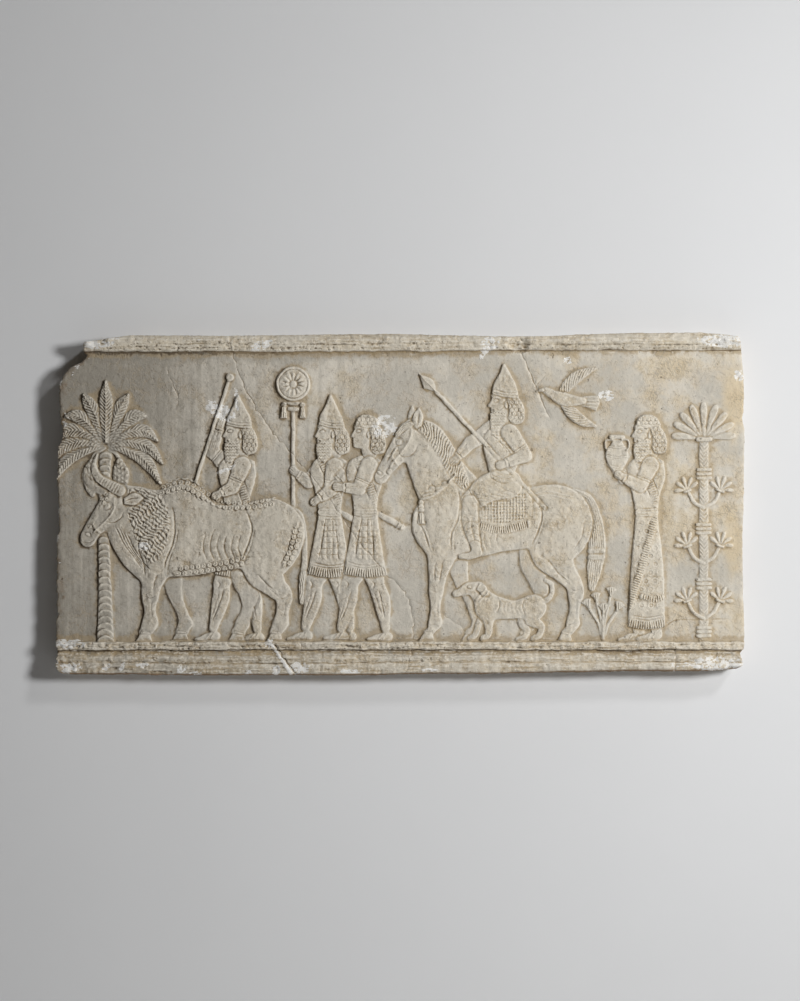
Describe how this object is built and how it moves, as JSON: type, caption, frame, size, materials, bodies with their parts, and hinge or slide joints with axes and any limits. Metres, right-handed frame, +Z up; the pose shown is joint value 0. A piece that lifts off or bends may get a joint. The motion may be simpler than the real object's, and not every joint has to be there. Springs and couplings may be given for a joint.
{
  "type": "plaster relief plaque",
  "caption": "Cast plaster wall plaque with a carved procession in low relief between moulded ledges, on a slab with broken edges.",
  "frame": {"origin": "middle of the flat back, on the wall's plane", "axes": "+X to the right along the plaque as seen from the front, +Y through the back into the wall, so that the carved face looks along -Y, +Z up"},
  "size_m": [1.002, 0.048, 0.499],
  "materials": {
    "plaster": "matte"
  },
  "bodies": {
    "root": {"plaster_plaque": "plaster"}
  },
  "joints": []
}
